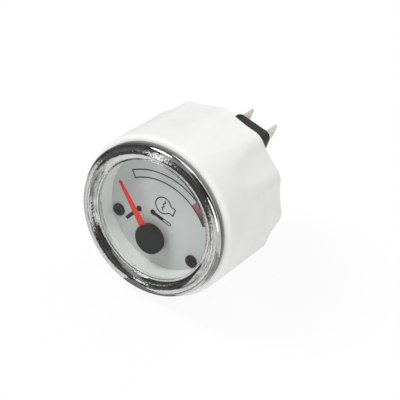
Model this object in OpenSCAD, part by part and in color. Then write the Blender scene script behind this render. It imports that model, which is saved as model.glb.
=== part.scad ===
// Water temperature gauge for a round panel hole: chrome bezel, glass, white dial with an air-core
// movement behind it, threaded black case and a large white clamp nut run up against the bezel.
// The origin is on the case axis at the panel plane. The dial faces -Y and twelve o'clock is +Z.

/* [Case] */
// Outside diameter of the threaded barrel that passes through the panel
barrel_d = 52; // [43:1:64]
// Wall of the barrel, from the thread crest to the bore
barrel_wall = 1.3; // [1.1:0.1:2]
// Length of the barrel behind the panel plane
barrel_len = 42.5; // [36:0.5:60]
// Thickness of the rear wall
rear_wall = 2.5; // [2:0.1:4]
// Distance from one thread crest to the next
thread_pitch = 3; // [2:0.5:4]
// Height of the thread
thread_h = 0.5; // [0.3:0.1:0.6]
// Length of the plain pilot at the rear end of the barrel
pilot_len = 4.6; // [3:0.1:8]
// How far the flange stands out from the barrel
flange_w = 3; // [2.2:0.1:4]
// Thickness of the flange
flange_t = 0.8; // [0.6:0.1:1.2]

/* [Bezel] */
// How far the bezel stands out from the barrel
bezel_overhang = 4; // [3.8:0.1:6]
// Thickness of the chromed sheet
sheet_t = 0.7; // [0.5:0.1:0.9]
// Height of the bezel in front of the gasket
bezel_h = 3.15; // [3:0.05:4]
// Radius of the outer shoulder
shoulder_r = 1.5; // [1.1:0.1:1.8]
// Width of the crowned band, from the crest to its inner edge
band_w = 4.05; // [3.5:0.05:5]
// Fall of the crowned band over its width
band_fall = 1.05; // [0.6:0.05:1.3]
// Width of the flat ledge that holds the glass
ledge_w = 0.85; // [0.6:0.05:1.1]
// Depth of the ledge behind the crest of the bezel
ledge_fall = 1.38; // [1.2:0.02:1.5]
// Width of the lip that is folded in behind the flange
lip_w = 1.5; // [1:0.1:2]

/* [Glass and seals] */
// Thickness of the glass
glass_t = 1.8; // [1.2:0.1:2]
// Thickness of the seal in front of the glass
lens_seal_t = 0.5; // [0.3:0.1:0.8]
// Thickness of the panel gasket
gasket_t = 0.8; // [0.5:0.1:1.5]
// Width of the panel gasket
gasket_w = 3.6; // [2.8:0.1:3.6]

/* [Dial] */
// Depth of the dial face behind the panel plane
dial_y = 6.4; // [5.4:0.1:9]
// Thickness of the dial plate
dial_t = 0.8; // [0.5:0.1:1.5]
// Wall of the white shade ring
shade_wall = 0.8; // [0.6:0.1:1]
// Depth of the inner edge of the shade ring behind the panel plane
shade_edge_y = 4.5; // [3:0.1:5]
// Radius of the two dial screw heads
dial_screw_r = 2.45; // [1.8:0.05:2.6]
// Height of the dial screw heads
dial_screw_h = 0.7; // [0.5:0.1:1]
// Radius of the two dial posts
post_r = 2.5; // [2.2:0.1:2.6]
// Distance of the dial posts from the bore of the barrel, centre to wall
post_inset = 3.9; // [3.5:0.1:5]

/* [Pointer] */
// Angle of the pointer from twelve o'clock at each end of its sweep
half_sweep = 53.5; // [40:0.5:60]
// Distance from the pointer tip at twelve o'clock to the shade ring
pointer_gap = 11.2; // [8:0.1:14]
// Width of the pointer where it leaves its cap
pointer_root_w = 3.4; // [2.5:0.1:4]
// Width of the pointer at its tip
pointer_tip_w = 1.05; // [0.8:0.05:2]
// Thickness of the pointer
pointer_t = 0.7; // [0.5:0.1:1]
// Distance from the front of the pointer to the dial face
pointer_lift = 4.4; // [3.2:0.1:4.8]
// Outside radius of the pointer cap
cap_r = 5.9; // [5:0.1:7]
// Height of the pointer cap
cap_h = 2.4; // [1.8:0.1:2.8]

/* [Movement] */
// Room between the windings or pillars and the inside of the shield can
can_room = 1.36; // [0.4:0.02:2]
// Thickness of the can
can_t = 0.5; // [0.4:0.1:0.6]
// Distance from the can to the bore of the barrel
can_gap = 0.95; // [0.5:0.05:2]
// Radius of the spindle
spindle_r = 0.6; // [0.5:0.05:0.8]
// Radius of the magnet rotor
rotor_r = 5.5; // [4.5:0.1:6.6]
// Thickness of the magnet rotor
rotor_t = 3; // [2:0.1:4]
// Width of each coil half
coil_w = 3; // [2:0.1:3]
// Depth of the windings
coil_t = 1.5; // [1:0.1:1.5]
// Radius of the circle on which the stop pegs stand
peg_circle_r = 4.4; // [3.5:0.1:5]
// Radius of the stop pegs
peg_r = 0.7; // [0.5:0.1:1]

/* [Circuit board] */
// Thickness of the circuit board
board_t = 1.6; // [1:0.1:2]
// Distance from a dial post to the board screw next to it, centre to centre
post_to_screw = 8.7; // [6:0.1:10]
// Radius of the two dial lamps
lamp_r = 2.5; // [1.5:0.1:2.5]
// Length of the dial lamps in front of the board
lamp_len = 8.6; // [5:0.1:10]
// Length of the resistor body
resistor_len = 9; // [6:0.1:9]
// Radius of the resistor body
resistor_r = 1.6; // [1:0.1:1.6]

/* [Clamp nut] */
// How far the crests of the clamp nut stand out from the barrel
nut_wall = 5.9; // [5:0.1:8]
// Length of the clamp nut
nut_len = 37.7; // [20:0.1:46]
// Length of the threaded bore at the front of the nut
nut_thread_len = 12; // [8:0.5:18]
// Radius of the rounded front edge
nut_round = 2.5; // [1:0.1:3]
// Number of flutes
flutes = 12; // [8:1:16]
// Depth of the flutes
flute_depth = 1.25; // [0.6:0.05:1.6]
// Radius of the flutes
flute_r = 40; // [20:1:60]
// Distance from the front of the nut to the start of the flutes
flute_start = 10; // [6:0.5:16]
// Clock angle of one crest, in degrees before three o'clock
crest_angle = 9.6; // [0:0.1:30]

/* [Terminal block] */
// Width of the terminal block
block_w = 16.5; // [15:0.1:20]
// Height of the terminal block
block_h = 20.6; // [18:0.1:22]
// Length of the terminal block behind the barrel
block_len = 15.3; // [8:0.1:20]
// Radius of the corners of the block
block_round = 3; // [2.2:0.1:3.5]
// Wall of the block
block_wall = 1.6; // [1.2:0.1:2]
// Distance from the top of the block to the edge of the barrel pilot
block_inset = 6; // [5.5:0.1:8]

/* [Blade terminals] */
// Width of the blades
tab_w = 6.3; // [4.8:0.1:6.3]
// Thickness of the blades
tab_t = 0.8; // [0.5:0.1:0.8]
// Length of the blades outside the block
tab_len = 7.9; // [6:0.1:9]
// Radius of the latch hole in the blades
tab_hole_r = 0.8; // [0.6:0.05:1]
// Distance from the middle of the block to each side blade
tab_offset = 5.6; // [5:0.05:5.8]
// Width of the tails that run to the board
tail_w = 3; // [2:0.1:4]

/* [Hidden] */

$fn = 96;
cut = 1;                // how far a cutter runs past the face that it cuts
slip = 0.05;            // radial clearance of a running or pressed round fit
loose = 0.2;            // radial clearance of parts that drop in
arc_steps = 8;          // straight steps in a small rounded edge

// Radii of the case and what drops into it
barrel_r = barrel_d / 2;
bore_r = barrel_r - barrel_wall;
pilot_r = barrel_r - 0.4;
seat_r = bore_r + 0.45;
lens_r = seat_r - loose;
flange_r = barrel_r + flange_w;
bezel_r = barrel_r + bezel_overhang;
dial_r = bore_r - loose;
shade_r = dial_r - shade_wall;

// Depths from the panel plane, front to back
lip_y = -gasket_t - sheet_t;
flange_y = lip_y - flange_t;
crest_y = -gasket_t - bezel_h;
ledge_y = crest_y + ledge_fall + sheet_t;
lens_y = ledge_y + lens_seal_t;
shade_y = lens_y + glass_t;
shade_flange_t = 0.6;
seat_y = shade_y + shade_flange_t;
dial_back = dial_y + dial_t;
rear_y = barrel_len - rear_wall;

// Movement, measured from the back of the dial
chamber_r = rotor_r + 0.5;
core_r = chamber_r + 0.8;
winding_gap = 0.1;
coil_gap = 2.4;         // from the spindle to the near side of a coil half
pillar_at = coil_gap + coil_w + 1.1;
pillar_r = 0.95;
coil_corner_r = norm([core_r + winding_gap + coil_t, coil_gap + coil_w]);
can_r = max(pillar_at * sqrt(2) + pillar_r, coil_corner_r) + can_room + can_t;
hub_drop = bore_r - can_gap - can_r;
stop_gap = 0.8;
stop_t = 0.7;
stop_y = dial_back + stop_gap;
neck_y = stop_y + stop_t + 0.2;
neck_r = 2.2;
plate_y = neck_y + 2.4;
plate_t = 1.2;
core_wall = 1;
chamber_h = rotor_t + 2.6;
core_y = plate_y + plate_t + 2 * coil_t + 3 * winding_gap;
core_h = chamber_h + 2 * core_wall;
mid_y = core_y + core_h / 2;
can_rear = core_y + core_h + 2 * coil_t + 3 * winding_gap + can_t + 0.4;
foot_len = 1.5;
board_y = can_rear + foot_len;
board_back = board_y + board_t;
board_r = bore_r - 0.9;
pin_r = 0.4;

// Pointer
pointer_y = dial_y - pointer_lift;
pointer_len = hub_drop + shade_r - pointer_gap;
pointer_hub_r = 4.5;
boss_r = 2.2;
boss_back = dial_y - 0.8;
cap_face_t = 0.5;
cap_y = pointer_y - cap_face_t - slip;
cap_wall = 0.6;
spindle_y = pointer_y + 0.4;

// Dial posts and screws
post_x = sqrt(pow(bore_r - post_inset, 2) - pow(hub_drop, 2));
screw_r = 1.2;
screw_len = 5.5;

// Board screws, lamps and resistor
boss_circle_r = bore_r - 4.2;
post_angle = atan2(post_x, -hub_drop);
boss_angle = post_angle - 2 * asin(post_to_screw / 2 / boss_circle_r);
boss_angles = [0, boss_angle, -boss_angle];
case_boss_r = 2.2;
lamp_circle_r = bore_r - 7.7;
lamp_angles = [-50, 50];
lead_r = 0.3;
resistor_z = can_r - hub_drop + 7.75;
resistor_y = board_y - resistor_r - 1;
resistor_reach = resistor_len / 2 + 2.5;

// Terminal block and blades
block_top = pilot_r - block_inset;
block_y = barrel_len + block_len;
block_z = block_top - block_h / 2;
tab_z = block_top - 0.4 - tab_w / 2;
tab_y = block_y + tab_len;
tail_y = board_y - 0.8;
earth_z = block_top - block_h + 5;
block_rear_wall = 2;
blade_root = 1.9;       // how far the full width of a blade runs into the rear wall of the block
block_pegs = [[0, block_top - 3], [-5.6, block_top - block_h + 3.2], [5.6, block_top - block_h + 3.2]];
block_peg_r = 1.2;

// Clamp nut
nut_r = barrel_r + nut_wall;
nut_y = 0.1;
nut_rear = nut_y + nut_len;
skirt_r = nut_r - 3;
flute_run = 6;
rear_chamfer = 0.6;

// Points of an arc about [x, y], from one angle to another
function arc(x, y, r, from, to, steps = arc_steps) =
    [for (i = [0 : steps]) let(a = from + (to - from) * i / steps) [x + r * cos(a), y + r * sin(a)]];

// Outline of a rectangle with rounded corners, centred on the origin
function rounded(w, h, r) = concat(
    arc(w / 2 - r, h / 2 - r, r, 0, 90), arc(r - w / 2, h / 2 - r, r, 90, 180),
    arc(r - w / 2, r - h / 2, r, 180, 270), arc(w / 2 - r, r - h / 2, r, 270, 360));

// A turned piece on the Y axis, from points of [radius, depth]
module turned(points) rotate([-90, 0, 0]) rotate_extrude() polygon(points);

// A round bar along Y
module rod(r, from, to) translate([0, from, 0]) rotate([-90, 0, 0]) cylinder(r = r, h = to - from);

// A flat ring on the Y axis
module ring(outer, inner, from, to) difference() {
    rod(outer, from, to);
    rod(inner, from - cut, to + cut);
}

// A flat outline in X and Z, given thickness along Y
module slab(from, to) translate([0, to, 0]) rotate([90, 0, 0]) linear_extrude(to - from) children();

// Places a child at a distance from the axis and a clock angle from twelve
module clock(angle, distance) rotate([0, angle, 0]) translate([0, 0, distance]) children();

// Moves a child down to the pointer axis
module on_hub() translate([0, 0, -hub_drop]) children();

// Both dial posts or dial screws
module at_posts() for (side = [-1, 1]) translate([side * post_x, 0, -hub_drop]) children();

// The four corner pillars of the bobbin
module at_pillars() on_hub() for (x = [-1, 1], z = [-1, 1])
    translate([x * pillar_at, 0, z * pillar_at]) children();

// Chromed rim: side wall, rounded shoulder, crowned band, ledge and folded lip
module bezel() {
    crest_r = bezel_r - shoulder_r;
    band_r = (pow(band_w, 2) + pow(band_fall, 2)) / (2 * band_fall);
    band_end = asin(band_w / band_r);
    ledge_front = ledge_y - sheet_t;
    ledge_r = crest_r - band_w;
    color([0.78, 0.78, 0.77]) turned(concat(
        [[bezel_r, -gasket_t]],
        arc(crest_r, crest_y + shoulder_r, shoulder_r, 0, -90),
        arc(crest_r, crest_y + band_r, band_r, -90, -90 - band_end),
        [[ledge_r, ledge_front], [ledge_r - ledge_w, ledge_front], [ledge_r - ledge_w, ledge_y],
         [ledge_r + sheet_t, ledge_y]],
        arc(crest_r, crest_y + band_r, band_r - sheet_t, -90 - band_end + 6, -90, 4),
        arc(crest_r, crest_y + shoulder_r, shoulder_r - sheet_t, -90, 0),
        [[bezel_r - sheet_t, lip_y], [bezel_r - sheet_t - lip_w, lip_y],
         [bezel_r - sheet_t - lip_w, -gasket_t]]));
}

// Flat rubber ring between the bezel and the panel
module panel_gasket() color([0.2, 0.2, 0.2]) ring(bezel_r - 0.1, bezel_r - 0.1 - gasket_w, -gasket_t, 0);

// Flat glass
module lens() color([0.85, 0.93, 0.92, 0.35]) rod(lens_r, lens_y, shade_y);

// Pale rubber ring between the ledge of the bezel and the glass
module lens_seal() color([0.86, 0.86, 0.85]) ring(lens_r, shade_r + 0.2, ledge_y, lens_y);

// White light ring that stands on the dial and carries the glass
module shade_ring() {
    foot_r = dial_r - 0.4;
    color([0.93, 0.95, 0.93]) turned([
        [shade_r, shade_y], [lens_r, shade_y], [lens_r, seat_y], [dial_r, seat_y], [dial_r, dial_y],
        [foot_r, dial_y], [foot_r, shade_edge_y + 0.5], [shade_r, shade_edge_y]]);
}

// White dial disc with holes for the hub and the two screws
module dial_plate() color([0.82, 0.85, 0.84]) difference() {
    rod(dial_r, dial_y, dial_back);
    on_hub() rod(neck_r + 0.4, dial_y - cut, dial_back + cut);
    at_posts() rod(screw_r + loose, dial_y - cut, dial_back + cut);
}

// Two black pan-head screws with a cross recess
module dial_screws() color([0.16, 0.17, 0.16]) at_posts() difference() {
    union() {
        rod(dial_screw_r, dial_y - dial_screw_h, dial_y);
        rod(screw_r, dial_y - 0.2, dial_back + screw_len);
    }
    for (turn = [45, 135]) rotate([0, turn, 0])
        translate([-1.3, dial_y - dial_screw_h - cut, -0.3]) cube([2.6, cut + 0.4, 0.6]);
}

// Two standoffs from the board to the dial, tapped in front and riveted behind
module dial_posts() color([0.75, 0.62, 0.35]) at_posts() {
    difference() {
        rod(post_r, dial_back, board_y);
        rod(screw_r + slip, dial_back - cut, dial_back + screw_len + 1);
    }
    rod(1.4, board_y - 0.5, board_back + 0.6);
    rod(2.1, board_back, board_back + 0.6);
}

// Red pointer with a round hub and a boss behind it
module pointer() color([0.92, 0.26, 0.17]) on_hub() rotate([0, -half_sweep, 0]) difference() {
    union() {
        slab(pointer_y, pointer_y + pointer_t) union() {
            circle(pointer_hub_r);
            polygon([[-pointer_root_w / 2, 0], [pointer_root_w / 2, 0],
                [pointer_tip_w / 2, pointer_len - pointer_tip_w / 2],
                [-pointer_tip_w / 2, pointer_len - pointer_tip_w / 2]]);
            translate([0, pointer_len - pointer_tip_w / 2]) circle(pointer_tip_w / 2 + 0.01);
        }
        rod(boss_r, pointer_y + pointer_t / 2, boss_back);
    }
    rod(spindle_r + slip, spindle_y, boss_back + cut);
}

// Black cap over the pointer hub, notched where the pointer comes out
module pointer_cap() color([0.2, 0.21, 0.2]) on_hub() difference() {
    rod(cap_r, cap_y, cap_y + cap_h);
    rod(cap_r - cap_wall, cap_y + cap_face_t, cap_y + cap_h + cut);
    rotate([0, -half_sweep, 0]) translate([-pointer_root_w / 2 - 0.1, cap_y + cap_face_t, 0])
        cube([pointer_root_w + 0.2, pointer_t + 0.2, cap_r + cut]);
}

// Steel spindle
module spindle() color([0.7, 0.7, 0.7]) on_hub() rod(spindle_r, spindle_y + slip, core_y + core_h - 0.4);

// Brass arm that meets the stop pegs
module stop_arm() {
    arm_w = 1.2;
    color([0.75, 0.62, 0.35]) on_hub() rotate([0, 180 - half_sweep, 0]) difference() {
        union() {
            rod(1.8, stop_y, stop_y + stop_t);
            translate([-arm_w / 2, stop_y, 0]) cube([arm_w, stop_t, peg_circle_r + 1.2]);
        }
        rod(spindle_r + slip, stop_y - cut, stop_y + stop_t + cut);
    }
}

// Magnet disc on the spindle
module magnet_rotor() color([0.3, 0.3, 0.32]) on_hub()
    ring(rotor_r, spindle_r + slip, mid_y - rotor_t / 2, mid_y + rotor_t / 2);

// One half of the bobbin core with its pillars, seen from the middle plane outwards
module bobbin_half(from, to, wall_y) {
    web_at = core_r + 1.1;
    difference() {
        union() {
            on_hub() rod(core_r, from, to);
            on_hub() for (turn = [45 : 90 : 315]) rotate([0, turn, 0])
                translate([-0.5, from, core_r - 1]) cube([1, to - from, web_at - core_r + 1.4]);
        }
        on_hub() rod(chamber_r, wall_y[0], wall_y[1]);
    }
}

// Front of the bobbin: guide plate, bearing neck, stop pegs, pillars and half of the rotor chamber
module bobbin_front() {
    peg_turn = asin((0.6 + peg_r + slip) / peg_circle_r);
    stop_at = half_sweep + peg_turn;
    color([0.88, 0.86, 0.8]) difference() {
        union() {
            bobbin_half(core_y, mid_y, [core_y + core_wall, mid_y + cut]);
            on_hub() rod(can_r - can_t - 0.3, plate_y, plate_y + plate_t);
            on_hub() rod(neck_r, neck_y, core_y + core_wall / 2);
            at_pillars() rod(pillar_r, plate_y + plate_t / 2, mid_y);
            on_hub() for (side = [-1, 1]) clock(180 + side * stop_at, peg_circle_r)
                rod(peg_r, stop_y - 0.2, plate_y + plate_t / 2);
        }
        on_hub() rod(spindle_r + slip, neck_y - cut, core_y + core_wall + cut);
    }
}

// Rear of the bobbin: half of the rotor chamber, the rear bearing and four feet on the board
module bobbin_rear() color([0.88, 0.86, 0.8]) difference() {
    union() {
        bobbin_half(mid_y, core_y + core_h, [mid_y - cut, core_y + core_h - core_wall]);
        at_pillars() rod(pillar_r, mid_y, board_y);
    }
    on_hub() rod(spindle_r + slip, mid_y, core_y + core_h - 0.3);
    at_pillars() rod(pin_r + slip, board_y - 4, board_y + cut);
}

// Two halves of one winding: a rectangular ring on each side of the spindle
module winding(inside_w, inside_h) for (side = [-1, 1])
    translate([side * (coil_gap + coil_w / 2), mid_y, 0]) difference() {
        cube([coil_w, inside_h + 2 * coil_t, inside_w + 2 * coil_t], center = true);
        cube([coil_w + cut, inside_h, inside_w], center = true);
    }

// Winding next to the core, its turns running front to back and top to bottom
module coil_inner() color([0.72, 0.4, 0.2]) on_hub()
    winding(2 * core_r + 2 * winding_gap, core_h + 2 * winding_gap);

// Winding across the first, its turns running front to back and side to side
module coil_outer() color([0.78, 0.45, 0.22]) on_hub() rotate([0, 90, 0])
    winding(2 * core_r + 2 * winding_gap, core_h + 2 * coil_t + 4 * winding_gap);

// Four pins from the bobbin feet through the board
module coil_pins() color([0.8, 0.8, 0.78]) at_pillars() rod(pin_r, board_y - 3.8, board_back + 0.8);

// Steel can round the coils, open in front
module shield_can() color([0.72, 0.72, 0.7]) difference() {
    on_hub() rod(can_r, plate_y + 0.4, can_rear);
    on_hub() rod(can_r - can_t, plate_y + 0.4 - cut, can_rear - can_t);
    at_pillars() rod(pillar_r + 0.3, can_rear - can_t - cut, can_rear + cut);
}

// Round circuit board with every hole that the pieces on it need
module circuit_board() color([0.15, 0.4, 0.2]) difference() {
    rod(board_r, board_y, board_back);
    at_pillars() rod(pin_r + 0.1, board_y - cut, board_back + cut);
    at_posts() rod(1.4 + slip, board_y - cut, board_back + cut);
    for (a = boss_angles) clock(a, boss_circle_r) rod(screw_r + loose, board_y - cut, board_back + cut);
    for (side = [-1, 1]) {
        translate([side * tab_offset, 0, tab_z]) slab(board_y - cut, board_back + cut)
            square([tab_t + 0.2, tail_w + 0.2], center = true);
        translate([side * resistor_reach, 0, resistor_z]) rod(lead_r + 0.1, board_y - cut, board_back + cut);
        for (a = lamp_angles) clock(a, lamp_circle_r) translate([side * 1.27, 0, 0])
            rod(lead_r + 0.1, board_y - cut, board_back + cut);
    }
    translate([0, 0, earth_z]) slab(board_y - cut, board_back + cut)
        square([tail_w + 0.2, tab_t + 0.2], center = true);
}

// Three screws that hold the board to the bosses of the case
module board_screws() color([0.7, 0.7, 0.68]) for (a = boss_angles) clock(a, boss_circle_r) difference() {
    union() {
        rod(2.4, board_y - 1.2, board_y);
        rod(screw_r, board_y - 0.2, rear_y);
    }
    for (turn = [0, 90]) rotate([0, turn, 0])
        translate([-1.4, board_y - 1.2 - cut, -0.3]) cube([2.8, cut + 0.6, 0.6]);
}

// Resistor that stands off the board on its two leads
module series_resistor() translate([0, 0, resistor_z]) {
    color([0.8, 0.72, 0.55]) translate([-resistor_len / 2, resistor_y, 0]) rotate([0, 90, 0])
        cylinder(r = resistor_r, h = resistor_len);
    color([0.75, 0.75, 0.74]) for (side = [-1, 1]) {
        translate([side * resistor_reach, resistor_y, 0]) {
            rotate([0, -side * 90, 0]) cylinder(r = lead_r, h = resistor_reach - resistor_len / 2 + 0.5);
            rod(lead_r, -lead_r, board_back - resistor_y + 0.7);
        }
    }
}

// Two dial lamps with domed ends, standing on the board
module dial_lamps() color([0.95, 0.95, 0.88]) for (a = lamp_angles) clock(a, lamp_circle_r) {
    translate([0, board_y - lamp_len + lamp_r, 0]) sphere(lamp_r);
    rod(lamp_r, board_y - lamp_len + lamp_r, board_y - 0.5);
    rod(lamp_r + 0.4, board_y - 1, board_y);
    for (side = [-1, 1]) translate([side * 1.27, 0, 0]) rod(lead_r, board_y - 0.5, board_back + 0.7);
}

// Black case: flange, threaded barrel, plain pilot, rear wall and bosses for the board
module barrel_case() {
    thread_start = 3;
    pilot_y = barrel_len - pilot_len;
    thread_end = pilot_y - 1.4;
    turns = floor((thread_end - thread_start) / thread_pitch);
    root_r = barrel_r - thread_h;
    flat = thread_pitch / 2 - thread_h;
    thread = [for (i = [0 : turns - 1], p = [[0, barrel_r], [thread_h, root_r], [thread_h + flat, root_r],
        [2 * thread_h + flat, barrel_r]]) [p[1], thread_start + i * thread_pitch + p[0]]];
    color([0.13, 0.13, 0.13]) {
        difference() {
            union() {
                turned(concat(
                    [[0, rear_y], [bore_r, rear_y], [bore_r, seat_y], [seat_r, seat_y],
                     [seat_r, ledge_y + loose], [seat_r + sheet_t, flange_y],
                     [flange_r, flange_y], [flange_r, lip_y], [barrel_r, lip_y]],
                    thread,
                    [[barrel_r, pilot_y - 0.6], [root_r, pilot_y - 0.1], [root_r, pilot_y],
                     [pilot_r, pilot_y], [pilot_r, barrel_len - 0.5], [pilot_r - 0.5, barrel_len],
                     [0, barrel_len]]));
                for (a = boss_angles) clock(a, boss_circle_r) rod(case_boss_r, board_back, rear_y + 0.5);
            }
            for (a = boss_angles) clock(a, boss_circle_r) rod(screw_r + slip, board_back - cut, rear_y + 0.4);
            for (side = [-1, 1]) translate([side * tab_offset, 0, tab_z]) slab(rear_y - cut, barrel_len + cut)
                square([tab_t + 0.4, tail_w + 0.6], center = true);
            translate([0, 0, earth_z]) slab(rear_y - cut, barrel_len + cut)
                square([tail_w + 0.6, tab_t + 0.4], center = true);
            for (p = block_pegs) translate([p[0], 0, p[1]])
                rod(block_peg_r + slip, rear_y - cut, barrel_len + cut);
        }
    }
}

// White nut with a rounded front edge, flutes that run out behind the rear rim and a wider rear bore
module clamp_nut() {
    flute_at = nut_r - flute_depth + flute_r;
    flute_y = nut_y + flute_start;
    color([0.94, 0.94, 0.93]) difference() {
        turned(concat(
            [[barrel_r + slip, nut_y]],
            arc(nut_r - nut_round, nut_y + nut_round, nut_round, -90, 0),
            [[nut_r, nut_rear - rear_chamfer], [nut_r - rear_chamfer, nut_rear], [skirt_r, nut_rear],
             [skirt_r, nut_y + nut_thread_len + 1], [barrel_r + slip + 0.6, nut_y + nut_thread_len],
             [barrel_r + slip, nut_y + nut_thread_len - 0.6]]));
        for (i = [0 : flutes - 1]) clock(90 - crest_angle + (i + 0.5) * 360 / flutes, flute_at) {
            translate([0, flute_y, 0]) rotate([-90, 0, 0])
                cylinder(r1 = flute_r - flute_depth, r2 = flute_r, h = flute_run);
            rod(flute_r, flute_y + flute_run, nut_rear + cut);
        }
    }
}

// Black block on the rear wall, hollow inside, with pegs into the wall and a slot for each blade
module terminal_block() {
    inner_w = block_w - 2 * block_wall;
    inner_h = block_h - 2 * block_wall;
    color([0.15, 0.15, 0.14]) difference() {
        union() {
            difference() {
                translate([0, 0, block_z]) slab(barrel_len, block_y)
                    polygon(rounded(block_w, block_h, block_round));
                translate([0, 0, block_z]) slab(barrel_len - cut, block_y - block_rear_wall)
                    polygon(rounded(inner_w, inner_h, block_round - block_wall));
            }
            for (p = block_pegs) translate([p[0], 0, p[1]]) {
                rod(1.8, barrel_len, block_y - 1);
                rod(block_peg_r, rear_y + 0.3, barrel_len + 1);
            }
        }
        for (side = [-1, 1]) translate([side * tab_offset, 0, tab_z])
            slab(block_y - block_rear_wall - cut / 2, block_y + cut)
                square([tab_t + 0.2, tab_w + 0.2], center = true);
        translate([0, 0, earth_z]) slab(block_y - block_rear_wall - cut / 2, block_y + cut)
            square([tab_w + 0.2, tab_t + 0.2], center = true);
    }
}

// One blade with its tail and latch hole, flat in the upright plane through the Y axis
module blade() difference() {
    union() {
        translate([-tab_t / 2, block_y - blade_root, -tab_w / 2]) cube([tab_t, tab_len + blade_root, tab_w]);
        translate([-tab_t / 2, tail_y, -tail_w / 2]) cube([tab_t, block_y - tail_y, tail_w]);
    }
    translate([-tab_t, tab_y - 3.2, 0]) rotate([0, 90, 0]) cylinder(r = tab_hole_r, h = 2 * tab_t);
    for (side = [-1, 1]) translate([0, tab_y, side * tab_w / 2]) rotate([45, 0, 0])
        cube([2 * tab_t, 1, 1], center = true);
}

// Left blade
module supply_tab() color([0.88, 0.87, 0.78]) translate([-tab_offset, 0, tab_z]) blade();

// Right blade
module sender_tab() color([0.88, 0.87, 0.78]) translate([tab_offset, 0, tab_z]) blade();

// Lower blade, turned flat
module earth_tab() color([0.88, 0.87, 0.78]) translate([0, 0, earth_z]) rotate([0, 90, 0]) blade();

bezel();
panel_gasket();
lens();
lens_seal();
shade_ring();
dial_plate();
dial_screws();
dial_posts();
pointer();
pointer_cap();
spindle();
stop_arm();
magnet_rotor();
bobbin_front();
bobbin_rear();
coil_inner();
coil_outer();
coil_pins();
shield_can();
circuit_board();
board_screws();
series_resistor();
dial_lamps();
barrel_case();
clamp_nut();
terminal_block();
supply_tab();
sender_tab();
earth_tab();
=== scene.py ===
import math

import bmesh
import bpy
from mathutils import Matrix, Vector


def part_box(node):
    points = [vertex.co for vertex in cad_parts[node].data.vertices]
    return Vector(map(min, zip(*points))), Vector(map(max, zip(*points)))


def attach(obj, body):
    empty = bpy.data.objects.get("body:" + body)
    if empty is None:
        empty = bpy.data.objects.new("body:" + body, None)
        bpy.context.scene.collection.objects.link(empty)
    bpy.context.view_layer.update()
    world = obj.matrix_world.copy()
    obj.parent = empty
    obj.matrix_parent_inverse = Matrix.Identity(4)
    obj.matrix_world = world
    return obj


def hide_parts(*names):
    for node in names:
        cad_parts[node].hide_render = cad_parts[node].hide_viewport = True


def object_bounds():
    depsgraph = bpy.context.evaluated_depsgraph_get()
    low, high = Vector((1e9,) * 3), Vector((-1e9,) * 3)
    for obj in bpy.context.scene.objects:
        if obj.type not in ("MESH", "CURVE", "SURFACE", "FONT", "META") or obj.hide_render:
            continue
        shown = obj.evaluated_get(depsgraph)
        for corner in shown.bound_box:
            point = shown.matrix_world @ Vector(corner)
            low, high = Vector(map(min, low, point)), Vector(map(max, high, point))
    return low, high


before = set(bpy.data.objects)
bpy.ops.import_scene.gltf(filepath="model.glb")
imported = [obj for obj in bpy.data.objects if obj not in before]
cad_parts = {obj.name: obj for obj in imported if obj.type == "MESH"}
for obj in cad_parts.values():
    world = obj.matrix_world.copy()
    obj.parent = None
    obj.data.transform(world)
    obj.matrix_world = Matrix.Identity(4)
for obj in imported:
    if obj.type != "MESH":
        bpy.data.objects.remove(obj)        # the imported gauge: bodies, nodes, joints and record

# Water temperature gauge: chrome rim, flat glass, white dial with a red pointer, black threaded case
# and a large white clamp nut. Sizes in the dictionaries are millimetres in the gauge's own frame:
# the dial faces -Y, twelve o'clock is +Z and Y 0 is the panel.
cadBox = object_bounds()
scene = bpy.context.scene
scene.view_settings.view_transform = "Standard"
mm = 0.001


def boxOf(node):
    low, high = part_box(node)
    return low / mm, high / mm


def turnedSize(node):
    # outer radius, front and back of a round node
    low, high = boxOf(node)
    return (high.x - low.x) / 2, low.y, high.y


def middleOf(node):
    low, high = boxOf(node)
    return (low + high) / 2


rimRadius, rimFront = turnedSize("bezel")[:2]
glassRadius, glassFront, glassBack = turnedSize("lens")
shadeRadius, shadeFront, dialFace = turnedSize("shade_ring")
nutRadius, nutFront, nutBack = turnedSize("clamp_nut")
hub = middleOf("pointer_cap")

# Steps round a turned piece or a hole
roundSteps = {"nut": 720, "rim": 256, "ring": 192, "cap": 128, "screw": 64, "peg": 48, "hole": 40}


# Meshes
def roundCorners(corners, steps=5):
    # closed outline of (x, y, corner radius) with each corner turned into an arc
    outline = []
    for i, (x, y, size) in enumerate(corners):
        here = Vector((x, y))
        if size == 0:
            outline.append(here)
            continue
        toLast = (Vector(corners[i - 1][:2]) - here).normalized()
        toNext = (Vector(corners[(i + 1) % len(corners)][:2]) - here).normalized()
        half = toLast.angle(toNext) / 2
        centre = here + (toLast + toNext).normalized() * size / math.sin(half)
        start = here + toLast * size / math.tan(half) - centre
        end = here + toNext * size / math.tan(half) - centre
        sweep = start.angle_signed(end)
        for k in range(steps + 1):
            outline.append(centre + Matrix.Rotation(-sweep * k / steps, 2) @ start)
    return outline


def arcPoints(centre, radius, first, last, steps):
    # points of an arc, with angles in degrees from the outline's own x axis
    turns = [math.radians(first + (last - first) * k / steps) for k in range(steps + 1)]
    return [(centre[0] + radius * math.cos(a), centre[1] + radius * math.sin(a)) for a in turns]


def meshFrom(name, vertices, faces):
    mesh = bpy.data.meshes.new(name)
    mesh.from_pydata([Vector(v) * mm for v in vertices], [], faces)
    work = bmesh.new()
    work.from_mesh(mesh)
    bmesh.ops.recalc_face_normals(work, faces=work.faces)
    work.to_mesh(mesh)
    work.free()
    return mesh


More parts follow.
